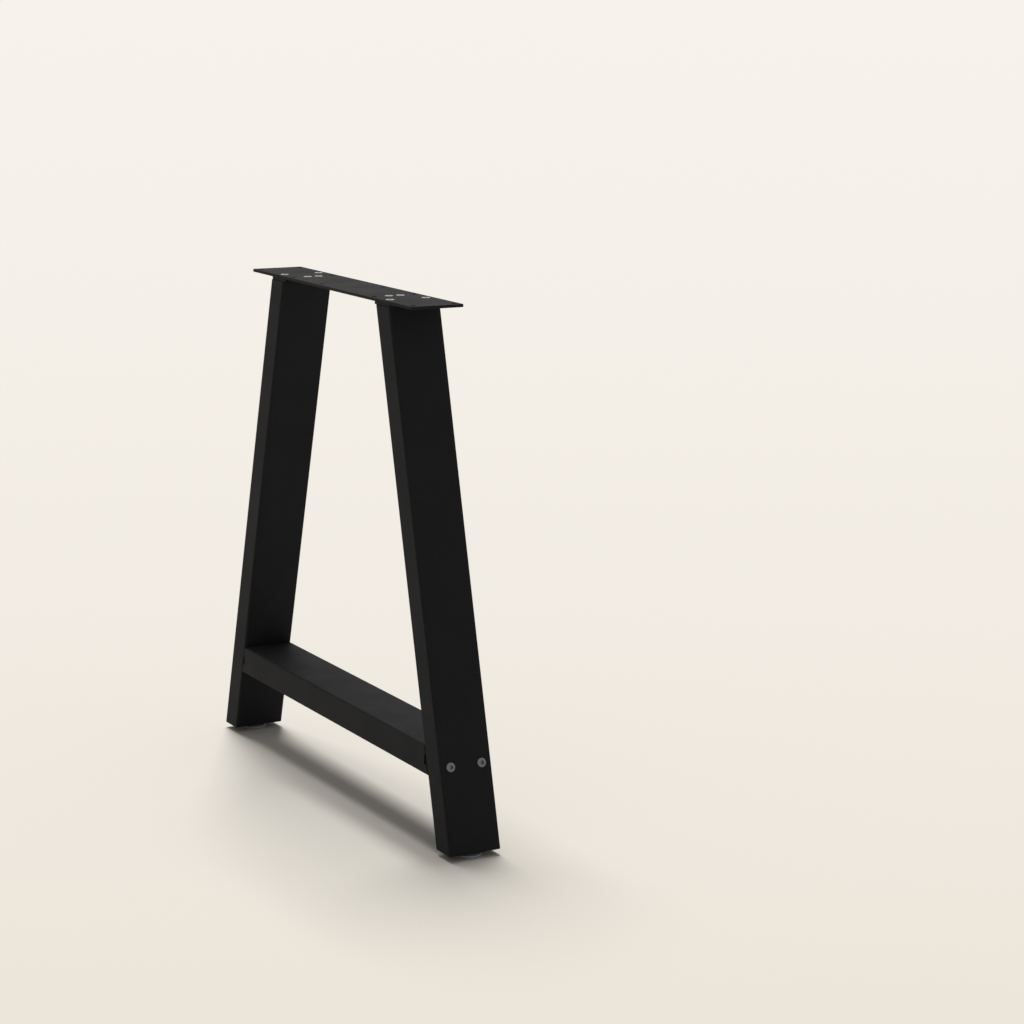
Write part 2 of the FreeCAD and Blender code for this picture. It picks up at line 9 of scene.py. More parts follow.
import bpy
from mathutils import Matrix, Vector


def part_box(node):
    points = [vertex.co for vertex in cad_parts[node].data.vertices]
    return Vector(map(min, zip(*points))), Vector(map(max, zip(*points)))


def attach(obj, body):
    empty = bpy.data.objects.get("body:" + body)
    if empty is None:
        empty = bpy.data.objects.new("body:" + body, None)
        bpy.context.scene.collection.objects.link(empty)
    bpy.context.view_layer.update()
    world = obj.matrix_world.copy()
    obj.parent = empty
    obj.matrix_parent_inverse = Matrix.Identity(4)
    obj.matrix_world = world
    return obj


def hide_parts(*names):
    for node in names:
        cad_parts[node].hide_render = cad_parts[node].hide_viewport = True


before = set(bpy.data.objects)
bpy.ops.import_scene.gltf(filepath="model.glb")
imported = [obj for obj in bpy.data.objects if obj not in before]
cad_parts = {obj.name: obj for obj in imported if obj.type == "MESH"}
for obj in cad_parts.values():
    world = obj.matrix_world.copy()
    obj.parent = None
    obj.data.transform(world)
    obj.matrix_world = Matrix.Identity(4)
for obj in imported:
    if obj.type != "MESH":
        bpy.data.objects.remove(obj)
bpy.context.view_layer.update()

import math

import bmesh
import bpy
from mathutils import Matrix, Vector

# %% [markdown]
# ## Sizes that the frame gives
# A fitter would lay a rule on the finished frame, and so does this cell: the width of the tube and the place
# and depth of the crossbar come from the boxes of the CAD nodes. The legs are 38 mm stock tube, so their
# lean follows from how far a leg runs sideways while it rises. Shapes are drawn in millimetres and scaled
# once, at the end, as small numbers in metres are hard to read and some of Blender's curve tools round
# them off.

# %% Measure the frame
MM = 0.001
TUBE_DEPTH = 38


def box_in_mm(node):
    """Lowest and highest corner of a CAD node, in millimetres."""
    low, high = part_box(node)
    return low / MM, high / MM


plate_low, plate_high = box_in_mm("top_plate")
leg_low, leg_high = box_in_mm("right_leg_tube")
bar_low, bar_high = box_in_mm("crossbar_tube")
bar_middle = (bar_low.z + bar_high.z) / 2
tube_width = leg_high.y - leg_low.y
bar_depth = bar_high.z - bar_low.z
leg_rise = leg_high.z - leg_low.z
leg_run = leg_high.x - leg_low.x
lean = math.acos(TUBE_DEPTH / math.hypot(leg_run, leg_rise)) - math.atan2(leg_rise, leg_run)
tube_slice = TUBE_DEPTH / math.cos(lean)


def outer_face(level):
    """X of the right leg's outer face at a height."""
    return leg_high.x - (level - leg_low.z) * math.tan(lean)


def inner_face(level):
    """X of the right leg's inner face at a height."""
    return outer_face(level) - tube_slice


SIDES = (("right", 1), ("left", -1))
print(f"tube {tube_width:.1f} by {TUBE_DEPTH:.1f} mm, legs lean {math.degrees(lean):.2f} degrees")

# %% [markdown]
# ## Camera
# The photograph was taken with a longish lens from a little above the plate, well round to one side. A
# camera could be aimed by eye, but the edges of the frame fix it better: their vanishing points give the
# turn, the rise and the lens, and the pixel where the middle of the trestle shows gives the place. The
# image stays square and unshifted, so that the camera can be moved round the object for other views.

# %% Place the camera
# The sensor and the lens are in millimetres, the depth is in metres.
IMAGE_SIDE = 1024
SENSOR = 36
LENS = 90.95
CAMERA_TURN = math.radians(59.69)
CAMERA_RISE = math.radians(11.59)
CAMERA_ROLL = math.radians(0.73)
CAMERA_DEPTH = 3.596
MIDDLE_PIXEL = (352.76, 540.48)

camera_data = bpy.data.cameras.new("camera")
camera_data.lens = LENS
camera_data.sensor_width = SENSOR
camera_data.clip_end = 1000
camera = bpy.data.objects.new("camera", camera_data)
bpy.context.scene.collection.objects.link(camera)
bpy.context.scene.camera = camera

camera_turn = Matrix.Rotation(CAMERA_TURN, 3, "Z")
camera_turn = camera_turn @ Matrix.Rotation(math.pi / 2 - CAMERA_RISE, 3, "X")
camera_turn = camera_turn @ Matrix.Rotation(CAMERA_ROLL, 3, "Z")
focal_pixels = LENS / SENSOR * IMAGE_SIDE
middle_x = (MIDDLE_PIXEL[0] - IMAGE_SIDE / 2) / focal_pixels
middle_y = (IMAGE_SIDE / 2 - MIDDLE_PIXEL[1]) / focal_pixels
trestle_middle = Vector((0, 0, plate_high.z / 2)) * MM
camera_place = trestle_middle - camera_turn @ Vector((middle_x, middle_y, -1)) * CAMERA_DEPTH
camera.matrix_world = Matrix.Translation(camera_place) @ camera_turn.to_4x4()
print("camera at", [round(value, 3) for value in camera_place])

# %% [markdown]
# ## Helpers for nodes
# Finishes and repeated pieces are both node trees, and a tree is a list of nodes with settings and links.
# One function that adds a node and fills its inputs keeps every tree readable as a recipe. An input takes a
# value, an output of another node, or a node itself, which stands for the first output that it shows. A list
# fills an input that takes several links. Colours are written as the hex values seen on a screen, and Blender
# mixes light in linear values, so a second function converts them. A third one starts an empty finish.

# %% Node and colour helpers
MATH = "ShaderNodeMath"
VECTOR_MATH = "ShaderNodeVectorMath"


def add_node(tree, kind, inputs=None, **settings):
    """Add a node, change its settings, then fill its inputs with values or with links."""
    node = tree.nodes.new(kind)
    for setting, value in settings.items():
        setattr(node, setting, value)
    for key, value in (inputs or {}).items():
        for source in value if isinstance(value, list) else [value]:
            if isinstance(source, bpy.types.Node):
                source = next(output for output in source.outputs if output.enabled)
            if isinstance(source, bpy.types.NodeSocket):
                tree.links.new(source, node.inputs[key])
            else:
                node.inputs[key].default_value = source
    return node


def linear(hex_colour):
    """Linear colour with full alpha from an sRGB hex value."""
    shares = [int(hex_colour[i:i + 2], 16) / 255 for i in (1, 3, 5)]
    return (*(s / 12.92 if s <= 0.04045 else ((s + 0.055) / 1.055) ** 2.4 for s in shares), 1)


def new_finish(name):
    """Empty material and its node tree."""
    finish = bpy.data.materials.new(name)
    finish.use_nodes = True
    finish.node_tree.nodes.clear()
    return finish, finish.node_tree


print("linear value of mid grey:", [round(value, 3) for value in linear("#808080")])

# %% [markdown]
# ## Black powder coat
# The tubes and plates are sprayed with dry polyester powder that melts in an oven. It flows almost level and
# sets with a soft orange peel, so a wide face looks nearly even while its gloss breaks up a little. A glossy
# paint with a flat colour would look like plastic film. Here two noises do the work: a broad one shifts the
# gloss where the film is thicker, and a fine one, as wide as real peel at 2 mm, lifts the surface. Together
# they shift the colour, since powder draws back from high spots and the film is thinner there.

# %% Powder coat
COAT_DEEP = "#111214"
COAT_THIN = "#1E1F22"
COAT_GLOSS = 0.1
COAT_SMOOTH = 0.6
COAT_ROUGH = 0.72
FILM_PATCH = 70 * MM
PEEL_WIDTH = 2 * MM
PEEL_HEIGHT = 0.06 * MM
# Nearly all values of a noise lie between the first two, and of two noises added between the next two.
NOISE_LOW = 0.3
NOISE_HIGH = 0.7
COVER_LOW = 0.65
COVER_HIGH = 1.35

powder_coat, tree = new_finish("powder_coated_steel_oven_cured_black")
place = add_node(tree, "ShaderNodeTexCoord").outputs["Object"]
film = add_node(tree, "ShaderNodeTexNoise", {"Vector": place, "Scale": 1 / FILM_PATCH, "Detail": 3})
peel = add_node(tree, "ShaderNodeTexNoise", {"Vector": place, "Scale": 1 / PEEL_WIDTH, "Detail": 2})
cover = add_node(tree, MATH, {0: film, 1: peel}, operation="ADD")
thinness = add_node(tree, "ShaderNodeMapRange", {
    "Value": cover, "From Min": COVER_LOW, "From Max": COVER_HIGH})
shade = add_node(tree, "ShaderNodeMix", {
    "Factor": thinness, "A": linear(COAT_DEEP), "B": linear(COAT_THIN)}, data_type="RGBA")
gloss = add_node(tree, "ShaderNodeMapRange", {
    "Value": film, "From Min": NOISE_LOW, "From Max": NOISE_HIGH,
    "To Min": COAT_SMOOTH, "To Max": COAT_ROUGH})
relief = add_node(tree, "ShaderNodeBump", {"Height": peel, "Strength": 1, "Distance": PEEL_HEIGHT})
shader = add_node(tree, "ShaderNodeBsdfPrincipled", {
    "Base Color": shade, "Roughness": gloss, "Specular IOR Level": COAT_GLOSS, "Normal": relief})
add_node(tree, "ShaderNodeOutputMaterial", {"Surface": shader})
print("made", powder_coat.name)

# %% [markdown]
# ## Zinc on turned screws
# Screw heads leave the lathe with fine rings around their axis, and a thin bright zinc plating follows them.
# The rings have to be centred on each screw, which object coordinates can't do for a set of screws in one
# mesh. So the tree that grows the screws stores each point's place on its own screw as an attribute, in
# millimetres, and the finish reads the distance from the axis from it. Rings of a tenth of a millimetre would
# vanish here, so they are drawn 0.6 mm apart. The bolts have the same rings under a rougher zinc whose colour
# is painted darker, as painted shade for the shaded outer faces of the legs.

# %% Turned zinc
SCREW_PLACE = "place_on_screw"
RING_SPACING = 0.6
RING_HEIGHT = 0.02 * MM
RING_STRENGTH = 0.6
ZINC_CLOUD = 2


def turned_zinc(name, dark, bright, smooth, rough):
    """Plated steel with lathe rings around the axis of each screw."""
    finish, tree = new_finish(name)
    place = add_node(tree, "ShaderNodeAttribute", attribute_name=SCREW_PLACE).outputs["Vector"]
    flat_place = add_node(tree, VECTOR_MATH, {0: place, 1: (1, 1, 0)}, operation="MULTIPLY")
    radius = add_node(tree, VECTOR_MATH, {0: flat_place}, operation="LENGTH")
    turns = add_node(tree, MATH, {0: radius, 1: 2 * math.pi / RING_SPACING}, operation="MULTIPLY")
    rings = add_node(tree, MATH, {0: turns}, operation="SINE")
    cloud = add_node(tree, "ShaderNodeTexNoise", {"Vector": place, "Scale": 1 / ZINC_CLOUD, "Detail": 4})
    shade = add_node(tree, "ShaderNodeMix", {
        "Factor": cloud, "A": linear(dark), "B": linear(bright)}, data_type="RGBA")
    gloss = add_node(tree, "ShaderNodeMapRange", {
        "Value": cloud, "From Min": NOISE_LOW, "From Max": NOISE_HIGH, "To Min": smooth, "To Max": rough})
    relief = add_node(tree, "ShaderNodeBump", {
        "Height": rings, "Strength": RING_STRENGTH, "Distance": RING_HEIGHT})
    shader = add_node(tree, "ShaderNodeBsdfPrincipled", {
        "Base Color": shade, "Metallic": 1, "Roughness": gloss, "Normal": relief})
    add_node(tree, "ShaderNodeOutputMaterial", {"Surface": shader})
    print("made", finish.name)
    return finish


bright_zinc = turned_zinc(
    "zinc_plated_steel_turned_bright", dark="#A9ACAE", bright="#C6C8C9", smooth=0.25, rough=0.38)
# The bolts' zinc is darker than the screws' as painted shade for the shaded outer faces of the legs; its
# rougher gloss is a duller plating.
shade_darkened_zinc = turned_zinc(
    "zinc_plated_steel_turned_darkened_for_shade", dark="#5A5C5E", bright="#707274", smooth=0.37, rough=0.5)

# %% [markdown]
# ## Hidden steel
# Nuts, sleeves and studs are made by the thousand and barrel-plated, which leaves a cloudy pale zinc with
# small spangles. A cell noise gives the spangles their edges, and a soft noise the cloudiness. A spangle of 2
# mm shows only when a foot is screwed out.

# %% Barrel-plated zinc
BARREL_DARK = "#8B8F91"
BARREL_PALE = "#B4B8BA"
BARREL_SMOOTH = 0.35
BARREL_ROUGH = 0.5
SPANGLE = 2 * MM
SPANGLE_CLOUD = 12 * MM

barrel_zinc, tree = new_finish("zinc_plated_steel_barrel_plated")
place = add_node(tree, "ShaderNodeTexCoord").outputs["Object"]
spangle = add_node(tree, "ShaderNodeTexVoronoi", {"Vector": place, "Scale": 1 / SPANGLE})
cloud = add_node(tree, "ShaderNodeTexNoise", {"Vector": place, "Scale": 1 / SPANGLE_CLOUD, "Detail": 3})
patches = add_node(tree, MATH, {0: spangle, 1: cloud}, operation="MULTIPLY")
shade = add_node(tree, "ShaderNodeMix", {
    "Factor": patches, "A": linear(BARREL_DARK), "B": linear(BARREL_PALE)}, data_type="RGBA")
gloss = add_node(tree, "ShaderNodeMapRange", {
    "Value": cloud, "From Min": NOISE_LOW, "From Max": NOISE_HIGH,
    "To Min": BARREL_SMOOTH, "To Max": BARREL_ROUGH})
shader = add_node(tree, "ShaderNodeBsdfPrincipled", {"Base Color": shade, "Metallic": 1, "Roughness": gloss})
add_node(tree, "ShaderNodeOutputMaterial", {"Surface": shader})
print("made", barrel_zinc.name)

# %% [markdown]
# ## Grey nylon
# The feet are injection-moulded nylon, grey right through, from a spark-eroded mould. That leaves an even
# fine grain that kills most of the gloss. The grain is about a tenth of a millimetre on the real foot, and
# is drawn five times as coarse so that some of it survives in the picture.

# %% Moulded nylon
NYLON_DARK = "#898E94"
NYLON_PALE = "#9DA2A8"
NYLON_IOR = 1.53
NYLON_SMOOTH = 0.45
NYLON_ROUGH = 0.6
MOULD_GRAIN = 0.5 * MM
GRAIN_HEIGHT = 0.04 * MM
GRAIN_STRENGTH = 0.6
FLOW_MARK = 10 * MM

nylon, tree = new_finish("nylon_injection_moulded_grey")
place = add_node(tree, "ShaderNodeTexCoord").outputs["Object"]
grain = add_node(tree, "ShaderNodeTexNoise", {"Vector": place, "Scale": 1 / MOULD_GRAIN, "Detail": 2})
flow = add_node(tree, "ShaderNodeTexNoise", {"Vector": place, "Scale": 1 / FLOW_MARK, "Detail": 2})
shade = add_node(tree, "ShaderNodeMix", {
    "Factor": flow, "A": linear(NYLON_DARK), "B": linear(NYLON_PALE)}, data_type="RGBA")
gloss = add_node(tree, "ShaderNodeMapRange", {"Value": grain, "To Min": NYLON_SMOOTH, "To Max": NYLON_ROUGH})
relief = add_node(tree, "ShaderNodeBump", {
    "Height": grain, "Strength": GRAIN_STRENGTH, "Distance": GRAIN_HEIGHT})
shader = add_node(tree, "ShaderNodeBsdfPrincipled", {
    "Base Color": shade, "Roughness": gloss, "IOR": NYLON_IOR, "Normal": relief})
add_node(tree, "ShaderNodeOutputMaterial", {"Surface": shader})
print("made", nylon.name)

# %% [markdown]
# ## Rounded outlines
# Most pieces start as an outline with rounded corners: the tube's section, the plates and the foot's profile.
# A Bevel modifier could round them afterwards, but an outline that is round from the start keeps the long
# faces clean. Each sharp corner becomes an arc that touches both of its sides.

# %% Outline helpers
ARC_STEPS = 6


def rounded(corners, radii):
    """Closed outline with each corner turned into an arc; a radius of 0 keeps the corner."""
    points = []
    for i, (corner, radius) in enumerate(zip(corners, radii)):
        here = Vector(corner)
        if not radius:
            points.append(here)
            continue
        back = (Vector(corners[i - 1]) - here).normalized()
        on = (Vector(corners[(i + 1) % len(corners)]) - here).normalized()
        half = back.angle(on) / 2
        middle = here + (back + on).normalized() * radius / math.sin(half)
        start = here + back * radius / math.tan(half) - middle
        end = here + on * radius / math.tan(half) - middle
        sweep = math.pi - 2 * half
        for k in range(ARC_STEPS + 1):
            t = k / ARC_STEPS
            spread = start * math.sin((1 - t) * sweep) + end * math.sin(t * sweep)
            points.append(middle + spread / math.sin(sweep))
    return points


def rounded_rectangle(width, height, radius):
    """Rectangle about the origin with four equal round corners."""
    x, y = width / 2, height / 2
    return rounded([(-x, -y), (x, -y), (x, y), (-x, y)], [radius] * 4)


print("a round corner has", ARC_STEPS + 1, "points")

# %% [markdown]
# ## From shapes to plain meshes
# Curves, Booleans and node trees are all recipes that Blender works out when it draws them. A piece is safer
# as the finished mesh, so one function takes what an object shows and drops the object. A mesh from code is
# merged and its faces are turned outwards before anything is cut out of it.

# %% Mesh helpers
MERGE_REACH = 0.001


def new_object(name, data):
    """Object in the scene, at the origin."""
    item = bpy.data.objects.new(name, data)
    bpy.context.scene.collection.objects.link(item)
    return item


def plain_mesh(item):
    """Mesh that an object shows once its modifiers are done; the object goes."""
    graph = bpy.context.evaluated_depsgraph_get()
    mesh = bpy.data.meshes.new_from_object(item.evaluated_get(graph))
    bpy.data.objects.remove(item)
    return mesh


def close_up(shape, name):
    """Plain mesh from a bmesh, with doubles merged and faces turned outwards."""
    bmesh.ops.remove_doubles(shape, verts=shape.verts, dist=MERGE_REACH)
    bmesh.ops.recalc_face_normals(shape, faces=shape.faces)
    mesh = bpy.data.meshes.new(name)
    shape.to_mesh(mesh)
    shape.free()
    return mesh


def carved(mesh, cutter):
    """The first mesh with the second one cut out of it."""
    tool = new_object("cutter", cutter)
    block = new_object("block", mesh)
    cut = block.modifiers.new("cut", "BOOLEAN")
    cut.operation = "DIFFERENCE"
    cut.solver = "EXACT"
    cut.object = tool
    result = plain_mesh(block)
    bpy.data.objects.remove(tool)
    return result


print("points closer than", MERGE_REACH, "mm are merged")

# %% [markdown]
# ## Finishing a piece
# Every piece ends the same way. Cutting can leave edges of no length, which are dissolved first. Then the
# mesh is scaled to metres, hard edges stay hard, and a Weighted Normal modifier lets the flat faces decide
# the shading beside a round edge, as on real sheet metal. Last, the piece gets its finish if it has none, is
# tied to the body that carries it, and hides the CAD nodes that it stands for.

# %% Piece helper
HARD_EDGE = math.radians(35)
SHORTEST_EDGE = 0.005


def finish_piece(name, mesh, body, slot, finish, *nodes):
    """Scale a mesh to metres and make it a piece that rides a body and stands for CAD nodes."""
    mesh.name = name
    shape = bmesh.new()
    shape.from_mesh(mesh)
    bmesh.ops.dissolve_degenerate(shape, dist=SHORTEST_EDGE, edges=shape.edges)
    shape.to_mesh(mesh)
    shape.free()
    mesh.transform(Matrix.Scale(MM, 4))
    if not mesh.materials:
        mesh.materials.append(finish)
    mesh.shade_smooth()
    mesh.set_sharp_from_angle(angle=HARD_EDGE)
    piece = new_object(name, mesh)
    shading = piece.modifiers.new("flat_faces_lead", "WEIGHTED_NORMAL")
    shading.keep_sharp = True
    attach(piece, body)
    if nodes:
        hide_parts(*nodes)
    print(f"{name}: {len(mesh.polygons)} faces, rides {body}")


print("edges sharper than", round(math.degrees(HARD_EDGE)), "degrees stay hard")

# %% [markdown]
# ## Legs
# Each leg is a length of welded rectangular tube, cut level at both ends although it leans, so its ends are
# slanted slices of the tube. It could be an extruded rectangle with a Boolean at each end. Here every point
# of the section simply runs along the tube until it meets the level of the cut, which gives clean long faces.
# The saw leaves a sharp edge that a worker files, because powder won't hold on it. A Bevel would tangle in
# the short steps of the round corners, so the filed edge is drawn as rings: each is the section made a little
# smaller and a little nearer to the cut. The bolt holes are cut last, square to the leaning faces.

# %% Leg tubes
TUBE_WALL = 2
TUBE_CORNER = 3
FILED_EDGE = 0.6
EDGE_STEPS = 3
BOLT_DROP = 1
BOLT_EDGE = 15
BOLT_HOLE = 9
HOLE_STEPS = 40

bolt_level = bar_middle - BOLT_DROP
bolt_y = tube_width / 2 - BOLT_EDGE


def section(across, up, inset):
    """Outline of the tube's section, made smaller all round."""
    return rounded_rectangle(across - 2 * inset, up - 2 * inset, TUBE_CORNER - inset)


def tube(name, across, up, ends):
    """Closed tube between two ends, each a function that sets a point of the section back from its cut."""
    filed = [(TUBE_WALL, 0)]
    for k in range(EDGE_STEPS + 1):
        turn = math.pi / 2 * k / EDGE_STEPS
        filed.append((FILED_EDGE * (1 - math.sin(turn)), FILED_EDGE * (1 - math.cos(turn))))
    shape = bmesh.new()
    rings = []
    for end, steps in zip(ends, (filed, filed[::-1])):
        for inset, setback in steps:
            rings.append([shape.verts.new(end(*point, setback)) for point in section(across, up, inset)])
    for here, beyond in zip(rings, rings[1:] + rings[:1]):
        for i in range(len(here)):
            shape.faces.new((here[i - 1], here[i], beyond[i], beyond[i - 1]))
    return close_up(shape, name)


def leg_end(side, level, inwards):
    """Function that runs a point of the section along a leg to the level of a cut."""
    square = Vector((side * math.cos(lean), 0, math.sin(lean)))
    along = Vector((-side * math.sin(lean), 0, math.cos(lean)))
    foot = Vector((side * (leg_high.x - tube_slice / 2), 0, leg_low.z))

    def end(across, up, setback):
        point = foot + square * across + Vector((0, up, 0))
        return point + along * (level + inwards * setback - point.z) / along.z
    return end


def bolt_places(side):
    """Where the two bolts of a leg meet its outer face, and the direction square to that face."""
    square = Vector((side * math.cos(lean), 0, math.sin(lean)))
    return [(Vector((side * outer_face(bolt_level), y, bolt_level)), square) for y in (bolt_y, -bolt_y)]


for hand, side in SIDES:
    drill = bmesh.new()
    for point, square in bolt_places(side):
        turn = square.to_track_quat("Z", "Y").to_matrix().to_4x4()
        middle = Matrix.Translation(point - square * TUBE_DEPTH / 2)
        bmesh.ops.create_cone(drill, cap_ends=True, segments=HOLE_STEPS, radius1=BOLT_HOLE / 2,
                              radius2=BOLT_HOLE / 2, depth=TUBE_DEPTH + 2 * TUBE_WALL, matrix=middle @ turn)
    ends = [leg_end(side, leg_low.z, 1), leg_end(side, leg_high.z, -1)]
    leg = tube("leg", TUBE_DEPTH, tube_width, ends)
    leg = carved(leg, close_up(drill, "drill"))
    finish_piece(f"{hand}_leg", leg, "frame", "black_coat", powder_coat, f"{hand}_leg_tube")

# %% [markdown]
# ## Crossbar
# The crossbar is a like tube laid flat, mitred to lie against the legs. Its section runs out sideways until
# it meets the leaning inner face of a leg. The filed edge leaves the fine dark groove that shows where two
# coated pieces only touch. A short slot opens each side wall at both ends, which drains the pickling bath
# before coating. A laser cuts it with round inner corners, so its cutter is a rounded outline too.

# %% Crossbar
SLOT_HEIGHT = 13
SLOT_LENGTH = 5
SLOT_CORNER = 1.5


def bar_end(side):
    """Function that runs a point of the section sideways to the inner face of a leg."""
    def end(across, up, setback):
        level = bar_middle + up
        return Vector((side * (inner_face(level) - setback), across, level))
    return end


def slot_cutter():
    """Four slots as one cutter: a rounded outline at each end, drawn right through both side walls."""
    shape = bmesh.new()
    for _, side in SIDES:
        outline = rounded_rectangle(2 * SLOT_LENGTH + TUBE_DEPTH, SLOT_HEIGHT, SLOT_CORNER)
        middle_x = side * (inner_face(bar_middle) + TUBE_DEPTH / 2)
        start = [shape.verts.new((middle_x + x, -tube_width, bar_middle + z)) for x, z in outline]
        wall = shape.faces.new(start)
        drawn = bmesh.ops.extrude_face_region(shape, geom=[wall])["geom"]
        moved = [item for item in drawn if isinstance(item, bmesh.types.BMVert)]
        bmesh.ops.translate(shape, verts=moved, vec=(0, 2 * tube_width, 0))
    return close_up(shape, "slots")


crossbar = tube("crossbar", tube_width, bar_depth, [bar_end(-1), bar_end(1)])
crossbar = carved(crossbar, slot_cutter())
finish_piece("crossbar", crossbar, "frame", "black_coat", powder_coat, "crossbar_tube")

# %% [markdown]
# ## Plates
# The top plate and the two leg flanges are laser-cut from flat bar, so each is an outline with holes and a
# thickness. A flat curve is the quickest way to such a plate: its splines fill to a face, its extrusion gives
# the thickness, and its bevel rounds every edge, of the holes too, as a tumbled and coated edge is. The bevel
# grows outwards, so the outline is pulled in by as much first.

# %% Plate helpers
PLATE_EDGE = 0.5


def ring(x, y, diameter):
    """Outline of a round hole."""
    turns = [2 * math.pi * k / HOLE_STEPS for k in range(HOLE_STEPS)]
    return [(x + diameter / 2 * math.cos(turn), y + diameter / 2 * math.sin(turn)) for turn in turns]


def flat_plate(name, outlines, low, high):
    """Plate between two levels, with every edge rounded."""
    curve = bpy.data.curves.new(name, "CURVE")
    curve.dimensions = "2D"
    curve.fill_mode = "BOTH"
    curve.extrude = (high - low) / 2 - PLATE_EDGE
    curve.bevel_depth = PLATE_EDGE
    curve.bevel_resolution = EDGE_STEPS - 1
    curve.offset = -PLATE_EDGE
    for points in outlines:
        spline = curve.splines.new("POLY")
        spline.points.add(len(points) - 1)
        for corner, (x, y) in zip(spline.points, points):
            corner.co = (x, y, 0, 1)
        spline.use_cyclic_u = True
    shape = bmesh.new()
    shape.from_mesh(plain_mesh(new_object(name, curve)))
    bmesh.ops.translate(shape, verts=shape.verts, vec=(0, 0, (low + high) / 2))
    return close_up(shape, name)


print("plates are rounded by", PLATE_EDGE, "mm")

# %% [markdown]
# ## Top plate
# Ten plain holes take the screws into a tabletop, in pairs at the ends and beside the legs and two staggered
# in the middle. Eight countersunk holes take the screws that hold the legs. The plain holes are splines of
# the plate's outline. A countersink changes width as it goes down, so it is a cone cut out afterwards.

# %% Top plate
PLATE_CORNER = 2
TABLE_HOLE = 7
TABLE_EDGE = 8
TABLE_END = 12
TABLE_STAGGER = 33
SCREW_SIZE = 6
SCREW_HEAD = 12
SCREW_EDGE = 11.5
SCREW_GAP = 0.1
INNER_SCREWS = 17
INNER_SCREW_OFFSET = 18
# The countersink's cutter stands this far out of the plate, so that it cuts cleanly.
SINK_SPARE = 1

outer_screw = (outer_face(leg_high.z) - tube_slice / 2, tube_width / 2 - SCREW_EDGE)
inner_screw = (inner_face(leg_high.z) - INNER_SCREW_OFFSET, INNER_SCREWS / 2)
screw_places = [(sx * x, sy * y) for x, y in (outer_screw, inner_screw) for sx in (1, -1) for sy in (1, -1)]
end_hole = (plate_high.x - TABLE_END, tube_width / 2 - TABLE_EDGE)
beside_leg = (inner_screw[0], end_hole[1])
table_holes = [(sx * x, sy * y) for x, y in (end_hole, beside_leg) for sx in (1, -1) for sy in (1, -1)]
table_holes += [(sign * TABLE_STAGGER, sign * end_hole[1]) for sign in (1, -1)]

outlines = [rounded_rectangle(2 * plate_high.x, tube_width, PLATE_CORNER)]
outlines += [ring(x, y, TABLE_HOLE) for x, y in table_holes]
top_plate = flat_plate("top_plate", outlines, plate_low.z, plate_high.z)

countersinks = bmesh.new()
bore = SCREW_SIZE / 2 + SCREW_GAP
mouth = SCREW_HEAD / 2 + SCREW_GAP
sink = mouth - bore
for x, y in screw_places:
    cone_middle = Matrix.Translation((x, y, plate_high.z - (sink - SINK_SPARE) / 2))
    bmesh.ops.create_cone(countersinks, cap_ends=True, segments=HOLE_STEPS, radius1=bore,
                          radius2=mouth + SINK_SPARE, depth=sink + SINK_SPARE, matrix=cone_middle)
through = bmesh.new()
drill_length = 4 * (plate_high.z - plate_low.z)
for x, y in screw_places:
    hole_middle = Matrix.Translation((x, y, plate_low.z))
    bmesh.ops.create_cone(through, cap_ends=True, segments=HOLE_STEPS, radius1=bore, radius2=bore,
                          depth=drill_length, matrix=hole_middle)
top_plate = carved(top_plate, close_up(through, "through"))
top_plate = carved(top_plate, close_up(countersinks, "countersinks"))
finish_piece("top_plate_steel", top_plate, "frame", "black_coat", powder_coat, "top_plate")

# %% [markdown]
# ## Leg flanges
# A flange is welded across the top of each leg, a little inside its narrow faces, with a tongue that reaches
# under the plate to the inner pair of screws. It is the piece that shows as a small step beside the leg. It
# is made as the top plate is, with its four tapped holes.

# %% Leg flanges
FLANGE_STEP = 6
FLANGE_INSET = 1
FLANGE_CORNER = 3
TONGUE_WIDTH = 38
TONGUE_MARGIN = 12

flange_out = outer_face(leg_high.z)
flange_in = inner_face(leg_high.z) - FLANGE_STEP
flange_y = tube_width / 2 - FLANGE_INSET
tongue_in = inner_screw[0] - TONGUE_MARGIN
tongue_y = TONGUE_WIDTH / 2
flange_corners = [
    (flange_out, -flange_y), (flange_out, flange_y), (flange_in, flange_y), (flange_in, tongue_y),
    (tongue_in, tongue_y), (tongue_in, -tongue_y), (flange_in, -tongue_y), (flange_in, -flange_y)]
for hand, side in SIDES:
    outline = [(side * x, y) for x, y in rounded(flange_corners, [FLANGE_CORNER] * len(flange_corners))]
    holes = [ring(x, y, 2 * bore) for x, y in screw_places if side * x > 0]
    flange = flat_plate("flange", [outline, *holes], leg_high.z, plate_low.z)
    finish_piece(f"{hand}_flange", flange, "frame", "black_coat", powder_coat, f"{hand}_leg_flange")

# %% [markdown]
# ## Trees for grown pieces
# Screws, bolts, studs and welds repeat one small shape or follow a line, which is what Geometry Nodes are
# for. Each tree takes a mesh of places and named sizes in millimetres. Its modifier gets the sizes by each
# socket's identifier before it is first worked out. Instances are made real at the end of a tree, and the
# result is taken as a plain mesh at once.


# %% Start, end and grow a tree
def new_tree(name, sizes):
    """Geometry node tree with named sizes, and the outputs of its input node."""
    tree = bpy.data.node_groups.new(name, "GeometryNodeTree")
    tree.interface.new_socket("Geometry", in_out="OUTPUT", socket_type="NodeSocketGeometry")
    tree.interface.new_socket("Places", in_out="INPUT", socket_type="NodeSocketGeometry")
    for size in sizes:
        tree.interface.new_socket(size, in_out="INPUT", socket_type="NodeSocketFloat")
    print("tree", name, "with sizes", sizes)
    return tree, add_node(tree, "NodeGroupInput").outputs


def end_tree(tree, geometry, finish):
    """Make instances real, give them their finish and pass them out."""
    real = add_node(tree, "GeometryNodeRealizeInstances", {"Geometry": geometry})
    coated = add_node(tree, "GeometryNodeSetMaterial", {"Geometry": real, "Material": finish})
    add_node(tree, "NodeGroupOutput", {"Geometry": coated})


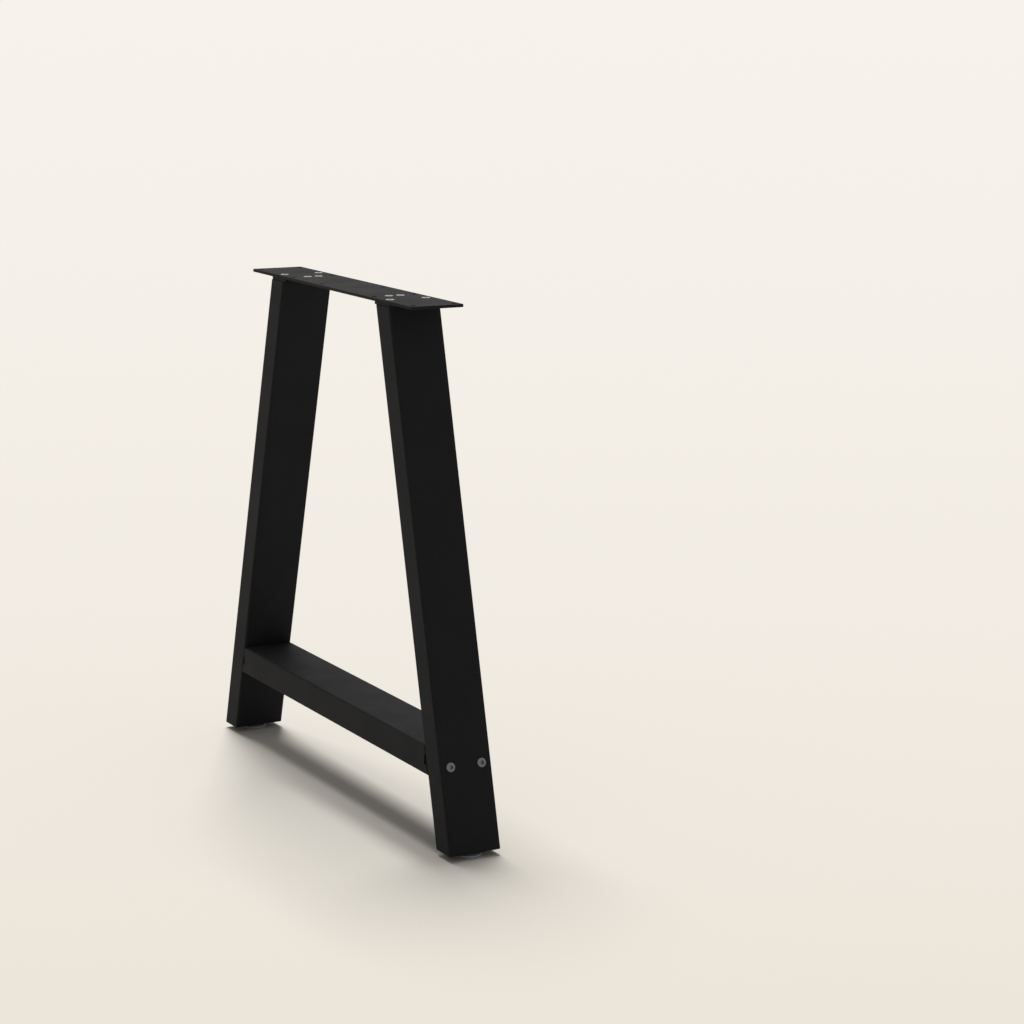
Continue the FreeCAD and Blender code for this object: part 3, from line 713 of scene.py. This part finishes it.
def grown(tree, places, sizes):
    """Plain mesh that a tree grows on a mesh of places."""
    holder = new_object("holder", places)
    growth = holder.modifiers.new("growth", "NODES")
    growth.node_group = tree
    for socket in tree.interface.items_tree:
        if socket.name in sizes:
            growth[socket.identifier] = float(sizes[socket.name])
    return plain_mesh(holder)


# %% [markdown]
# ## Turned shapes
# A lathe makes any shape from its profile, and so does this: open cones stand on each other, one for each
# step of the profile, and are merged into one skin. A profile that starts and ends on the axis gives a closed
# shape, which a Boolean needs.

# %% Turned shapes
ROUND_SIDES = 40


def turned(tree, profile):
    """Turned shape through pairs of radius and height, from the lowest up."""
    steps = []
    for (low_radius, low), (high_radius, high) in zip(profile, profile[1:]):
        depth = add_node(tree, MATH, {0: high, 1: low}, operation="SUBTRACT")
        cone = add_node(tree, "GeometryNodeMeshCone", {
            "Vertices": ROUND_SIDES, "Radius Bottom": low_radius, "Radius Top": high_radius,
            "Depth": depth}, fill_type="NONE")
        rise = add_node(tree, "ShaderNodeCombineXYZ", {"Z": low})
        steps.append(add_node(tree, "GeometryNodeTransform", {"Geometry": cone, "Translation": rise}))
    skin = add_node(tree, "GeometryNodeJoinGeometry", {"Geometry": steps})
    return add_node(tree, "GeometryNodeMergeByDistance", {"Geometry": skin, "Distance": MERGE_REACH})


print("turned shapes have", ROUND_SIDES, "sides")

# %% [markdown]
# ## Threads
# A thread is a groove that climbs by one pitch in each turn. A swept triangle would leave loose ends, so a
# finely divided pin has its skin pushed in instead: the height in pitches, less the angle in turns, repeats
# once for each pitch, and a ping-pong of it falls and rises like the flanks of the groove.

# %% Threads
THREAD_SIDES = 24
ROWS_PER_TURN = 8
THREAD_DEPTH = 0.61


def threaded(tree, radius, pitch, length):
    """Pin about the origin with a helical groove."""
    turns = add_node(tree, MATH, {0: length, 1: pitch}, operation="DIVIDE")
    rows = add_node(tree, MATH, {0: turns, 1: ROWS_PER_TURN}, operation="MULTIPLY")
    pin = add_node(tree, "GeometryNodeMeshCylinder", {
        "Vertices": THREAD_SIDES, "Side Segments": rows, "Depth": length, "Radius": radius})
    point = add_node(tree, "GeometryNodeInputPosition")
    part = add_node(tree, "ShaderNodeSeparateXYZ", {"Vector": point}).outputs
    angle = add_node(tree, MATH, {0: part["Y"], 1: part["X"]}, operation="ARCTAN2")
    turn = add_node(tree, MATH, {0: angle, 1: 2 * math.pi}, operation="DIVIDE")
    climb = add_node(tree, MATH, {0: part["Z"], 1: pitch}, operation="DIVIDE")
    along = add_node(tree, MATH, {0: climb, 1: turn}, operation="SUBTRACT")
    flank = add_node(tree, MATH, {0: along, 1: 0.5}, operation="PINGPONG")
    deepest = add_node(tree, MATH, {0: pitch, 1: -2 * THREAD_DEPTH}, operation="MULTIPLY")
    depth = add_node(tree, MATH, {0: flank, 1: deepest}, operation="MULTIPLY")
    flat_point = add_node(tree, VECTOR_MATH, {0: point, 1: (1, 1, 0)}, operation="MULTIPLY")
    outward = add_node(tree, VECTOR_MATH, {0: flat_point}, operation="NORMALIZE")
    push = add_node(tree, VECTOR_MATH, {0: outward, "Scale": depth}, operation="SCALE")
    return add_node(tree, "GeometryNodeSetPosition", {"Geometry": pin, "Offset": push})


print("a thread is", THREAD_DEPTH, "of its pitch deep")

# %% [markdown]
# ## Setting out
# A fitter marks out where every screw goes before drilling. The marks are a mesh of loose points, each with
# the direction that its screw stands in. The tree first stores each point's place on its own screw, for the
# turned finish, then stands a copy of the screw on every mark.


# %% Set out
def mesh_of_places(places, axes):
    """Mesh of loose points, each with the direction that its piece stands in."""
    mesh = bpy.data.meshes.new("places")
    mesh.from_pydata(places, [], [])
    directions = mesh.attributes.new("axis", "FLOAT_VECTOR", "POINT")
    for item, axis in zip(directions.data, axes):
        item.vector = axis
    print(len(places), "places marked")
    return mesh


def set_out(tree, shape, places, finish):
    """Store each point's place on its own shape, stand the shape on all places, and end the tree."""
    point = add_node(tree, "GeometryNodeInputPosition")
    marked = add_node(tree, "GeometryNodeStoreNamedAttribute", {
        "Geometry": shape, "Name": SCREW_PLACE, "Value": point}, data_type="FLOAT_VECTOR", domain="POINT")
    axis = add_node(tree, "GeometryNodeInputNamedAttribute", {"Name": "axis"}, data_type="FLOAT_VECTOR")
    turn = add_node(tree, "FunctionNodeAlignRotationToVector", {"Vector": axis}, axis="Z")
    copies = add_node(tree, "GeometryNodeInstanceOnPoints", {
        "Points": places, "Instance": marked, "Rotation": turn})
    end_tree(tree, copies, finish)


# %% [markdown]
# ## Plate screws
# Eight countersunk screws hold the plate to the flanges, their heads flush with it. A key turns them by a
# hexagon socket. The head is a turned cone with a broken rim, so that its edge catches the light as a fine
# ring, and the shank is a real thread, because the tips of the inner screws show from below.

# %% Plate screws
BOOLEAN = "GeometryNodeMeshBoolean"
BROKEN_RIM = 0.2
SCREW_KEY = 4
UP = Vector((0, 0, 1))
# Radius of a hexagon's corners where its width across the flats is 1.
HEX_CORNER = 0.5 / math.cos(math.pi / 6)

sizes = {
    "Thread Radius": SCREW_SIZE / 2, "Thread Pitch": 1, "Length": 10, "Head Radius": SCREW_HEAD / 2,
    "Socket Radius": SCREW_KEY * HEX_CORNER, "Socket Depth": 2.2}
tree, size = new_tree("countersunk_screws", sizes)
cone_foot = add_node(tree, MATH, {0: size["Thread Radius"], 1: size["Head Radius"]}, operation="SUBTRACT")
rim_radius = add_node(tree, MATH, {0: size["Head Radius"], 1: BROKEN_RIM}, operation="SUBTRACT")
face_radius = add_node(tree, MATH, {0: rim_radius, 1: BROKEN_RIM}, operation="SUBTRACT")
head = turned(tree, [
    (0, cone_foot), (size["Thread Radius"], cone_foot), (rim_radius, -BROKEN_RIM), (face_radius, 0), (0, 0)])
shank_length = add_node(tree, MATH, {0: cone_foot, 1: 0.5, 2: size["Length"]}, operation="MULTIPLY_ADD")
half_shank = add_node(tree, MATH, {0: shank_length, 1: 0.5}, operation="MULTIPLY")
shank_middle = add_node(tree, MATH, {0: half_shank, 1: size["Length"]}, operation="SUBTRACT")
pin = threaded(tree, size["Thread Radius"], size["Thread Pitch"], shank_length)
rise = add_node(tree, "ShaderNodeCombineXYZ", {"Z": shank_middle})
shank = add_node(tree, "GeometryNodeTransform", {"Geometry": pin, "Translation": rise})
screw = add_node(tree, BOOLEAN, {"Mesh 2": [head, shank]}, operation="UNION", solver="EXACT")
key_length = add_node(tree, MATH, {0: size["Socket Depth"], 1: 2}, operation="MULTIPLY")
key = add_node(tree, "GeometryNodeMeshCylinder", {
    "Vertices": 6, "Radius": size["Socket Radius"], "Depth": key_length})
socketed = add_node(tree, BOOLEAN, {"Mesh 1": screw, "Mesh 2": key}, operation="DIFFERENCE", solver="EXACT")
set_out(tree, socketed, size["Places"], bright_zinc)

places = mesh_of_places([(x, y, plate_high.z) for x, y in screw_places], [UP] * len(screw_places))
plate_screws = grown(tree, places, sizes)
finish_piece("plate_screw_set", plate_screws, "frame", "zinc_screws", bright_zinc, "plate_screws")

# %% [markdown]
# ## Crossbar bolts
# Two low-headed bolts go through each leg into the crossbar's end, square to the leaning face, so the places
# carry that direction and the tree turns each bolt to it. The edge of the head is an arc of rings, and the
# mouth of the hexagon socket is broken by a short cone, which gives the small dark centre its lighter edge.

# %% Crossbar bolts
BOLT_TIP = 1
BOLT_KEY = 5
SOCKET_MOUTH = 0.3
HEAD_RINGS = 8

sizes = {
    "Shank Radius": 4, "Length": 45, "Head Radius": 6.5, "Head Height": 1.8, "Head Round": 1.3,
    "Socket Radius": BOLT_KEY * HEX_CORNER, "Socket Depth": 2.6}
tree, size = new_tree("low_headed_bolts", sizes)
tip = add_node(tree, MATH, {0: size["Length"], 1: -1}, operation="MULTIPLY")
tip_top = add_node(tree, MATH, {0: tip, 1: BOLT_TIP}, operation="ADD")
tip_radius = add_node(tree, MATH, {0: size["Shank Radius"], 1: BOLT_TIP}, operation="SUBTRACT")
profile = [
    (0, tip), (tip_radius, tip), (size["Shank Radius"], tip_top), (size["Shank Radius"], 0),
    (size["Head Radius"], 0)]
for k in range(HEAD_RINGS + 1):
    turn = math.pi / 2 * k / HEAD_RINGS
    radius = add_node(tree, MATH, {
        0: size["Head Round"], 1: math.cos(turn) - 1, 2: size["Head Radius"]}, operation="MULTIPLY_ADD")
    height = add_node(tree, MATH, {
        0: size["Head Round"], 1: math.sin(turn) - 1, 2: size["Head Height"]}, operation="MULTIPLY_ADD")
    profile.append((radius, height))
profile.append((0, size["Head Height"]))
bolt = turned(tree, profile)
key_length = add_node(tree, MATH, {0: size["Socket Depth"], 1: 2}, operation="MULTIPLY")
key = add_node(tree, "GeometryNodeMeshCylinder", {
    "Vertices": 6, "Radius": size["Socket Radius"], "Depth": key_length})
mouth_radius = add_node(tree, MATH, {0: size["Socket Radius"], 1: SOCKET_MOUTH}, operation="ADD")
mouth_cone = turned(tree, [
    (0, -2 * SOCKET_MOUTH), (size["Socket Radius"], -SOCKET_MOUTH / 2), (mouth_radius, SOCKET_MOUTH),
    (0, SOCKET_MOUTH)])
cutter = add_node(tree, BOOLEAN, {"Mesh 2": [key, mouth_cone]}, operation="UNION", solver="EXACT")
rise = add_node(tree, "ShaderNodeCombineXYZ", {"Z": size["Head Height"]})
raised = add_node(tree, "GeometryNodeTransform", {"Geometry": cutter, "Translation": rise})
socketed = add_node(tree, BOOLEAN, {"Mesh 1": bolt, "Mesh 2": raised}, operation="DIFFERENCE", solver="EXACT")
set_out(tree, socketed, size["Places"], shade_darkened_zinc)

marks = [mark for _, side in SIDES for mark in bolt_places(side)]
places = mesh_of_places([point for point, _ in marks], [square for _, square in marks])
crossbar_bolts = grown(tree, places, sizes)
finish_piece("crossbar_bolt_set", crossbar_bolts, "frame", "steel_bolts", shade_darkened_zinc, "crossbar_bolts")

# %% [markdown]
# ## Foot studs
# A threaded stud carries each foot and levels the table. Its hexagonal collar takes a spanner and stops under
# the leg. The collar is a hexagonal bar trimmed by a turned shape, which cuts the round chamfers that every
# machined hexagon has. One tree grows both studs, each as its own piece, because each rides on its own foot.

# %% Foot studs
STUD_SIZE = 8
STUD_ROOT = 4
COLLAR_FLATS = 13
COLLAR_CHAMFER = 0.5

sizes = {
    "Thread Radius": STUD_SIZE / 2, "Thread Pitch": 1.25, "Thread Length": 28, "Root Length": STUD_ROOT,
    "Collar Radius": COLLAR_FLATS * HEX_CORNER, "Collar Height": 2}
tree, size = new_tree("levelling_studs", sizes)
chamfer_radius = add_node(tree, MATH, {0: size["Collar Radius"], 1: 2 * COLLAR_CHAMFER}, operation="SUBTRACT")
chamfer_top = add_node(tree, MATH, {0: size["Collar Height"], 1: COLLAR_CHAMFER}, operation="SUBTRACT")
trim = turned(tree, [
    (0, 0), (chamfer_radius, 0), (size["Collar Radius"], COLLAR_CHAMFER),
    (size["Collar Radius"], chamfer_top), (chamfer_radius, size["Collar Height"]),
    (0, size["Collar Height"])])
bar_length = add_node(tree, MATH, {0: size["Collar Height"], 1: 3}, operation="MULTIPLY")
bar = add_node(tree, "GeometryNodeMeshCylinder", {
    "Vertices": 6, "Radius": size["Collar Radius"], "Depth": bar_length})
collar = add_node(tree, BOOLEAN, {"Mesh 2": [trim, bar]}, operation="INTERSECT", solver="EXACT")
root_foot = add_node(tree, MATH, {0: size["Root Length"], 1: -1}, operation="MULTIPLY")
half_collar = add_node(tree, MATH, {0: size["Collar Height"], 1: 0.5}, operation="MULTIPLY")
root = turned(tree, [
    (0, root_foot), (size["Thread Radius"], root_foot),
    (size["Thread Radius"], half_collar), (0, half_collar)])
pin_length = add_node(tree, MATH, {0: size["Thread Length"], 1: half_collar}, operation="ADD")
pin = threaded(tree, size["Thread Radius"], size["Thread Pitch"], pin_length)
pin_middle = add_node(tree, MATH, {0: pin_length, 1: 0.5, 2: half_collar}, operation="MULTIPLY_ADD")
rise = add_node(tree, "ShaderNodeCombineXYZ", {"Z": pin_middle})
raised = add_node(tree, "GeometryNodeTransform", {"Geometry": pin, "Translation": rise})
stud = add_node(tree, BOOLEAN, {"Mesh 2": [collar, root, raised]}, operation="UNION", solver="EXACT")
set_out(tree, stud, size["Places"], barrel_zinc)

for hand, _ in SIDES:
    pad_low, pad_high = box_in_mm(f"{hand}_foot_pad")
    foot_x = (pad_low.x + pad_high.x) / 2
    stud_mesh = grown(tree, mesh_of_places([(foot_x, 0, pad_high.z)], [UP]), sizes)
    finish_piece(f"{hand}_threaded_stud", stud_mesh, f"{hand}_foot", "inner_steel", barrel_zinc,
                 f"{hand}_foot_stud")

# %% [markdown]
# ## Foot pads
# The feet are round nylon glides. The lower edge is well rounded so that it rides over a rug, the upper side
# falls away like a shallow cone, and the sole is relieved in the middle so that it stands on a ring. A turned
# form is one profile spun about its axis, and the poles at the axis are merged afterwards.

# %% Foot pads
SPIN_STEPS = 72
PAD_RIM = 3.8
PAD_TOP = 22
PAD_ROUND = 2.2
SHOULDER_ROUND = 1.2
TOP_ROUND = 1
SMALL_ROUND = 0.3
SOLE_RELIEF = 0.6
SOLE_INNER = 9.5
SOLE_OUTER = 10.5
PAD_SOCKET = STUD_SIZE / 2 + SCREW_GAP


def pad_mesh(middle, low, high, radius):
    """Spun foot pad about an upright axis."""
    corners = [
        (0, low + SOLE_RELIEF), (SOLE_INNER, low + SOLE_RELIEF), (SOLE_OUTER, low), (radius, low),
        (radius, low + PAD_RIM), (PAD_TOP / 2, high), (PAD_SOCKET, high), (PAD_SOCKET, high - STUD_ROOT),
        (0, high - STUD_ROOT)]
    radii = [0, SMALL_ROUND, SMALL_ROUND, PAD_ROUND, SHOULDER_ROUND, TOP_ROUND, SMALL_ROUND, 0, 0]
    shape = bmesh.new()
    points = [shape.verts.new((middle + x, 0, z)) for x, z in rounded(corners, radii)]
    edges = [shape.edges.new(pair) for pair in zip(points, points[1:])]
    bmesh.ops.spin(shape, geom=points + edges, cent=(middle, 0, 0), axis=UP, angle=2 * math.pi,
                   steps=SPIN_STEPS, use_merge=True)
    return close_up(shape, "foot_pad")


for hand, _ in SIDES:
    pad_low, pad_high = box_in_mm(f"{hand}_foot_pad")
    middle = (pad_low.x + pad_high.x) / 2
    pad = pad_mesh(middle, pad_low.z, pad_high.z, (pad_high.x - pad_low.x) / 2)
    finish_piece(f"{hand}_glide", pad, f"{hand}_foot", "foot_plastic", nylon, f"{hand}_foot_pad")

# %% [markdown]
# ## Weld beads
# The flange is welded to the leg in the corner under its inner step. A welder moves the torch in small steps,
# so a bead is a row of ripples. It follows a line, and a tree sweeps a round profile along that line while
# its radius swells once per ripple. The bead sinks halfway into both plates, as melted metal does, and is
# coated with them.

# %% Weld beads
BEAD_SIZE = 3
BEAD_MARGIN = 5
BEAD_SIDES = 14
POINTS_PER_RIPPLE = 4

sizes = {"Bead Radius": BEAD_SIZE / 2, "Ripple Pitch": 2, "Swell": 0.14}
tree, size = new_tree("weld_bead", sizes)
line = add_node(tree, "GeometryNodeMeshToCurve", {"Mesh": size["Places"]})
spacing = add_node(tree, MATH, {0: size["Ripple Pitch"], 1: POINTS_PER_RIPPLE}, operation="DIVIDE")
path = add_node(tree, "GeometryNodeResampleCurve", {"Curve": line, "Length": spacing}, mode="LENGTH")
along = add_node(tree, "GeometryNodeSplineParameter").outputs["Length"]
ripple = add_node(tree, MATH, {0: along, 1: size["Ripple Pitch"]}, operation="DIVIDE")
phase = add_node(tree, MATH, {0: ripple, 1: 2 * math.pi}, operation="MULTIPLY")
wave = add_node(tree, MATH, {0: phase}, operation="SINE")
swell = add_node(tree, MATH, {0: wave, 1: size["Swell"], 2: 1}, operation="MULTIPLY_ADD")
swollen = add_node(tree, "GeometryNodeSetCurveRadius", {"Curve": path, "Radius": swell})
round_bead = add_node(tree, "GeometryNodeCurvePrimitiveCircle", {
    "Resolution": BEAD_SIDES, "Radius": size["Bead Radius"]})
bead = add_node(tree, "GeometryNodeCurveToMesh", {
    "Curve": swollen, "Profile Curve": round_bead, "Scale": swell, "Fill Caps": True})
end_tree(tree, bead, powder_coat)

for hand, side in SIDES:
    corner_x = side * (inner_face(leg_high.z) - BEAD_SIZE / 4)
    bead_y = flange_y - BEAD_MARGIN
    level = leg_high.z - BEAD_SIZE / 4
    seam = bpy.data.meshes.new("seam")
    seam.from_pydata([(corner_x, -bead_y, level), (corner_x, bead_y, level)], [(0, 1)], [])
    bead_mesh = grown(tree, seam, sizes)
    finish_piece(f"{hand}_flange_weld", bead_mesh, "frame", "black_coat", powder_coat)

# %% [markdown]
# ## CAD nodes that stay
# The end caps under the legs and the pieces inside the tubes have the right shape as they are. They only need
# their finish: powder coat where the spray reaches, and zinc on what was plated before assembly.

# %% Finish the CAD nodes that stay
stays = {
    "leg_end_cap": powder_coat, "crossbar_end_plate": powder_coat, "foot_nut": barrel_zinc,
    "spacer_sleeves": barrel_zinc}
for hand, _ in SIDES:
    for name, finish in stays.items():
        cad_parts[f"{hand}_{name}"].material_slots[0].material = finish
        print(f"{hand}_{name} in", finish.name)

# %% [markdown]
# ## Floor
# The photograph has a plain cream ground that grows paler into the distance. A wide floor with that colour,
# mixed by the distance from the camera's side, gives the same, and it keeps the shadow. Its paper shows only
# from above, so that the trestle can be looked at from below too.

# %% Floor
FLOOR_RADIUS = 300
FLOOR_SIDES = 96
FLOOR_NEAR = "#EBE5D9"
FLOOR_FAR = "#F6F1EB"
# Metres along the direction away: where the paper starts to grow paler, and how far on it is halfway there.
FADE_FROM = -0.85
FADE_HALFWAY = 1.9
AWAY = (-0.863, 0.505, 0)

floor_shape = bmesh.new()
bmesh.ops.create_circle(floor_shape, cap_ends=True, segments=FLOOR_SIDES, radius=FLOOR_RADIUS)
floor_mesh = bpy.data.meshes.new("floor")
floor_shape.to_mesh(floor_mesh)
floor_shape.free()
new_object("floor", floor_mesh)

floor_paper, tree = new_finish("seamless_paper_matt_cream")
place = add_node(tree, "ShaderNodeTexCoord").outputs["Object"]
distance = add_node(tree, VECTOR_MATH, {0: place, 1: AWAY}, operation="DOT_PRODUCT")
past_start = add_node(tree, MATH, {0: distance, 1: FADE_FROM}, operation="SUBTRACT")
beyond = add_node(tree, MATH, {0: past_start, 1: 0}, operation="MAXIMUM")
whole = add_node(tree, MATH, {0: beyond, 1: FADE_HALFWAY}, operation="ADD")
fade = add_node(tree, MATH, {0: beyond, 1: whole}, operation="DIVIDE")
shade = add_node(tree, "ShaderNodeMix", {
    "Factor": fade, "A": linear(FLOOR_NEAR), "B": linear(FLOOR_FAR)}, data_type="RGBA")
paper = add_node(tree, "ShaderNodeBsdfDiffuse", {"Color": shade})
clear = add_node(tree, "ShaderNodeBsdfTransparent")
below = add_node(tree, "ShaderNodeNewGeometry").outputs["Backfacing"]
one_sided = add_node(tree, "ShaderNodeMixShader", {"Fac": below, 1: paper, 2: clear})
add_node(tree, "ShaderNodeOutputMaterial", {"Surface": one_sided})
floor_mesh.materials.append(floor_paper)
print("floor radius", FLOOR_RADIUS, "m")

# %% [markdown]
# ## Light
# In the photograph the upward faces are the palest, the narrow faces are next and the wide outer face stays
# nearly black, so the light is broad and soft, high up, and comes from behind the far leg. One sun as wide as
# a studio softbox gives that, with a low even fill from the world. The coat shows no bright patch of a lamp
# in the photograph, so the sun is hidden from reflections. What metal mirrors is the pale ground alone, which
# is also what the camera sees of the world.

# %% Light and world
SUN_STRENGTH = 2.75
SUN_SPREAD = math.radians(30)
SUN_FROM = Vector((-0.42, 0.11, 0.9))
FILL = 0.22
WHITE = linear("#FFFFFF")

sun_data = bpy.data.lights.new("soft_sun", "SUN")
sun_data.energy = SUN_STRENGTH
sun_data.angle = SUN_SPREAD
sun = new_object("soft_sun", sun_data)
sun.rotation_euler = SUN_FROM.to_track_quat("Z", "Y").to_euler()
sun.visible_glossy = False

world = bpy.data.worlds.new("pale_studio")
bpy.context.scene.world = world
world.use_nodes = True
tree = world.node_tree
tree.nodes.clear()
ray = add_node(tree, "ShaderNodeLightPath").outputs
mirrored = add_node(tree, MATH, {0: ray["Is Glossy Ray"], 1: ray["Is Transmission Ray"]}, operation="MAXIMUM")
seen = add_node(tree, MATH, {0: ray["Is Camera Ray"], 1: mirrored}, operation="MAXIMUM")
fill = add_node(tree, "ShaderNodeBackground", {"Color": WHITE, "Strength": FILL})
ground = add_node(tree, "ShaderNodeBackground", {"Color": linear(FLOOR_FAR), "Strength": 1})
sky = add_node(tree, "ShaderNodeMixShader", {"Fac": seen, 1: fill, 2: ground})
add_node(tree, "ShaderNodeOutputWorld", {"Surface": sky})
bpy.context.scene.view_settings.view_transform = "Standard"
print("sun", SUN_STRENGTH, "fill", FILL)
